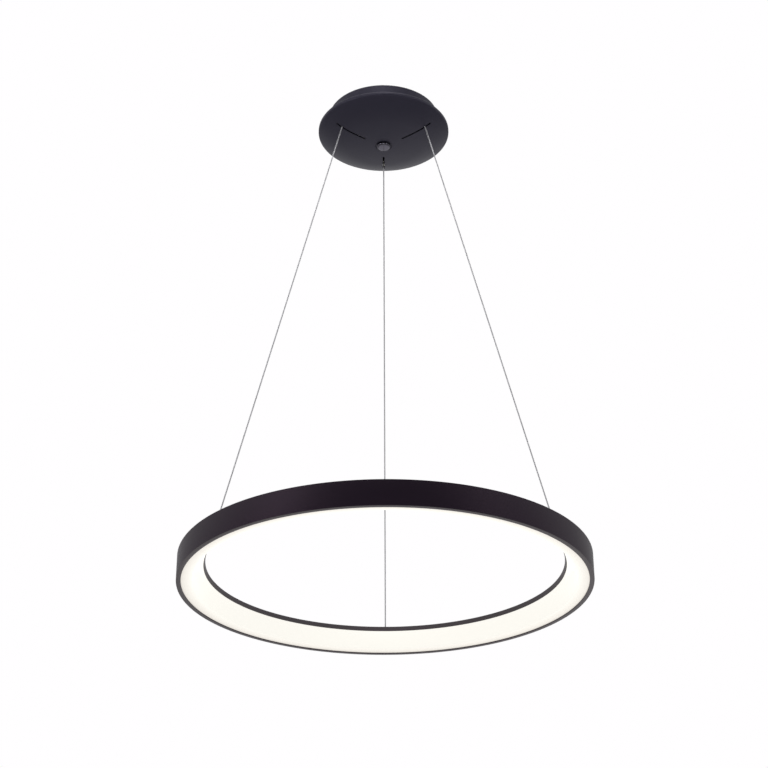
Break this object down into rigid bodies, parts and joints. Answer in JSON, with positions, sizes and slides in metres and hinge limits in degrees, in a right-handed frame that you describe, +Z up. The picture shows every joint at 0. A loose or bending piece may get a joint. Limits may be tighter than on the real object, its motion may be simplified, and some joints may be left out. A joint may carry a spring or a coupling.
{
  "type": "led pendant light",
  "caption": "Ring pendant light: a level ring with an opal inner diffuser hangs on thin wires from a shallow domed ceiling canopy; grippers set its height and a thumb screw drops the cover.",
  "frame": {"origin": "centre of the mounting plate's face against the ceiling", "axes": "+Z up into the ceiling, out of the mounting plate; the light hangs towards -Z; -Y is the side seen in the picture and +X is to its right"},
  "size_m": [0.5999, 0.6, 0.828],
  "materials": {
    "black_paint": "satin",
    "black_aluminium": "satin",
    "opal": "satin",
    "zinc": "satin",
    "steel_wire": "satin",
    "nickel": "polished",
    "brass": "satin",
    "nylon": "matt",
    "rubber": "matt",
    "driver_case": "matt",
    "circuit_board": "satin",
    "led_chip": "gloss",
    "red_lead": "satin",
    "brown_lead": "satin",
    "green_lead": "satin"
  },
  "bodies": {
    "canopy": {"gripper_bracket_1": "zinc", "gripper_bracket_2": "zinc", "gripper_bracket_3": "zinc", "bracket_rivets": "zinc", "centre_pillar": "zinc", "driver_screws": "zinc", "lead_lugs": "zinc", "cable_bush": "rubber", "gripper_body_1": "nickel", "gripper_body_2": "nickel", "gripper_body_3": "nickel", "gripper_nuts": "nickel", "suspension_wire_1": "steel_wire", "suspension_wire_2": "steel_wire", "suspension_wire_3": "steel_wire", "gripper_spring_1": "steel_wire", "gripper_spring_2": "steel_wire", "gripper_spring_3": "steel_wire", "gripper_bushes": "nylon", "gripper_washers": "nylon", "terminal_block": "nylon", "earth_screw": "brass", "terminal_screws": "brass", "led_driver": "driver_case", "mounting_plate": "black_paint", "output_leads": "red_lead", "mains_leads": "brown_lead", "earth_lead": "green_lead"},
    "cover": {"canopy_cover": "black_paint"},
    "cover_screw": {"thumb_screw": "black_paint", "screw_retainer": "zinc"},
    "plunger_1": {"release_plunger_1": "nickel", "gripper_balls_1": "nickel"},
    "plunger_2": {"release_plunger_2": "nickel", "gripper_balls_2": "nickel"},
    "plunger_3": {"release_plunger_3": "nickel", "gripper_balls_3": "nickel"},
    "ring": {"ring_profile": "black_aluminium", "diffuser": "opal", "led_board_1": "circuit_board", "led_board_2": "circuit_board", "led_board_3": "circuit_board", "led_chips": "led_chip", "board_links": "nylon", "splice_plate": "zinc", "splice_screws": "zinc", "wire_anchor_1": "nickel", "wire_anchor_2": "nickel", "wire_anchor_3": "nickel", "wire_ferrule_1": "steel_wire", "wire_ferrule_2": "steel_wire", "wire_ferrule_3": "steel_wire", "anchor_bushes": "nylon", "anchor_washers": "nylon", "anchor_lugs": "zinc", "anchor_nuts": "nickel", "ring_leads": "red_lead"}
  },
  "joints": [
    {"name": "ring_height", "type": "slide", "parent": "canopy", "child": "ring", "axis": [0, 0, 1], "range_m": [0, 0.2], "deforming": ["suspension_wire_1", "suspension_wire_2", "suspension_wire_3"]},
    {"name": "cover_drop", "type": "slide", "parent": "canopy", "child": "cover", "axis": [0, 0, -1], "range_m": [0, 0.027]},
    {"name": "cover_screw_turn", "type": "hinge", "parent": "cover", "child": "cover_screw", "pos_m": [0, 0, -0.055], "axis": [0, 0, -1], "range_deg": [0, 9725]},
    {"name": "plunger_1_press", "type": "slide", "parent": "canopy", "child": "plunger_1", "axis": [0, 0, 1], "range_m": [0, 0.002], "stiffness_N_per_m": 400, "springref_m": -0.002, "deforming": ["gripper_spring_1"]},
    {"name": "plunger_2_press", "type": "slide", "parent": "canopy", "child": "plunger_2", "axis": [0, 0, 1], "range_m": [0, 0.002], "stiffness_N_per_m": 400, "springref_m": -0.002, "deforming": ["gripper_spring_2"]},
    {"name": "plunger_3_press", "type": "slide", "parent": "canopy", "child": "plunger_3", "axis": [0, 0, 1], "range_m": [0, 0.002], "stiffness_N_per_m": 400, "springref_m": -0.002, "deforming": ["gripper_spring_3"]}
  ],
  "couplings": [
    {"joint": "cover_screw_turn", "follows": "cover_drop", "rad_per_m": 6283.2}
  ]
}
